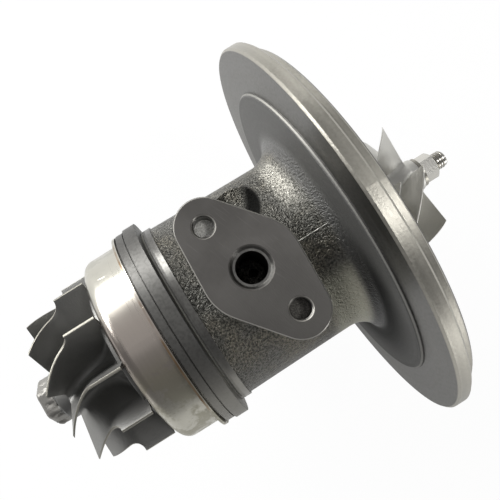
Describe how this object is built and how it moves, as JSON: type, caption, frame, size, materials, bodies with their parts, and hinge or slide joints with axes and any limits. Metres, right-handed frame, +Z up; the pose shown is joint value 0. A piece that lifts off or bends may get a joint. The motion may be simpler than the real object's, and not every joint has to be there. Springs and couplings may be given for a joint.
{
  "type": "turbo cartridge",
  "caption": "Turbocharger centre cartridge: cast bearing housing with a large compressor-end disc, heat shield, turbine and compressor wheels on one shaft, bushes and seals inside.",
  "frame": {"origin": "on the shaft's axis, in the plane of the shoulder that the compressor cover sits against", "axes": "+X along the shaft towards the compressor wheel, +Z up towards the oil inlet"},
  "size_m": [0.1914, 0.165, 0.165],
  "materials": {
    "housing_iron": "rough casting with machined faces",
    "shield_steel": "pressed stainless sheet",
    "turbine_alloy": "dull cast nickel alloy",
    "shaft_steel": "ground",
    "wheel_aluminium": "matte as cast",
    "nut_steel": "machined",
    "ring_steel": "ground",
    "bearing_bronze": "machined bronze",
    "spring_steel": "hardened",
    "plate_aluminium": "machined",
    "seal_rubber": "moulded"
  },
  "bodies": {
    "housing": {"bearing_housing": "housing_iron", "heat_shield": "shield_steel", "turbine_seal_ring": "ring_steel", "compressor_seal_ring": "ring_steel", "turbine_bearing_clip_back": "spring_steel", "turbine_bearing_clip_front": "spring_steel", "compressor_bearing_clip_back": "spring_steel", "compressor_bearing_clip_front": "spring_steel", "thrust_bearing": "bearing_bronze", "thrust_bearing_screws": "nut_steel", "oil_baffle": "spring_steel", "seal_plate": "plate_aluminium", "seal_plate_o_ring": "seal_rubber", "seal_plate_clip": "spring_steel"},
    "rotor": {"turbine_wheel": "turbine_alloy", "rotor_shaft": "shaft_steel", "thrust_collar": "shaft_steel", "oil_flinger_sleeve": "shaft_steel", "compressor_wheel": "wheel_aluminium", "compressor_washer": "nut_steel", "compressor_nut": "nut_steel"},
    "bush_turbine_side": {"journal_bearing_turbine_side": "bearing_bronze"},
    "bush_compressor_side": {"journal_bearing_compressor_side": "bearing_bronze"}
  },
  "joints": [
    {"name": "rotor_spin", "type": "hinge", "parent": "housing", "child": "rotor", "pos_m": [0, 0, 0], "axis": [1, 0, 0], "continuous": true},
    {"name": "bush_turbine_side_spin", "type": "hinge", "parent": "housing", "child": "bush_turbine_side", "pos_m": [-0.067, 0, 0], "axis": [1, 0, 0], "continuous": true},
    {"name": "bush_compressor_side_spin", "type": "hinge", "parent": "housing", "child": "bush_compressor_side", "pos_m": [-0.033, 0, 0], "axis": [1, 0, 0], "continuous": true}
  ]
}
